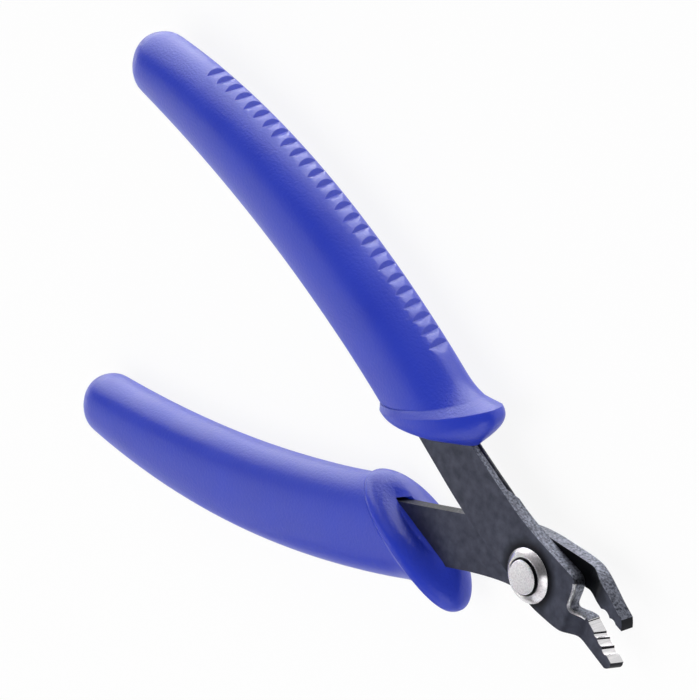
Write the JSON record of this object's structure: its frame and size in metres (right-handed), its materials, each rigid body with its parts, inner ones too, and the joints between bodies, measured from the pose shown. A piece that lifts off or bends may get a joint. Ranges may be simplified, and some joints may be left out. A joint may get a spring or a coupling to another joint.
{
  "type": "crimping pliers",
  "caption": "Crimping pliers: lapped black steel levers on a bright rivet, set-over notched jaws, a wire return spring and curved blue grips with finger notches and thumb stops.",
  "frame": {"origin": "centre of the flat rear face of the pivot rivet, on the pivot axis", "axes": "+X from the pivot to the jaws, +Y towards the upper handle, +Z out of the front face, along the pivot axis"},
  "size_m": [0.1325, 0.0807, 0.0142],
  "materials": {
    "black_steel": "black oxide, satin",
    "bright_steel": "bright turned",
    "spring_steel": "drawn",
    "blue_grip": "satin moulded"
  },
  "bodies": {
    "front_half": {"front_lever": "black_steel", "upper_grip": "blue_grip", "pivot_rivet": "bright_steel", "rivet_collar": "bright_steel", "return_spring": "spring_steel"},
    "rear_half": {"rear_lever": "black_steel", "lower_grip": "blue_grip"}
  },
  "joints": [
    {"name": "handle_pivot", "type": "hinge", "parent": "front_half", "child": "rear_half", "pos_m": [0, 0, 0.0034], "axis": [0, 0, -1], "range_deg": [0, 17.5], "stiffness_Nm_per_rad": 0.7, "springref_deg": -6.88, "deforming": ["return_spring"]}
  ]
}
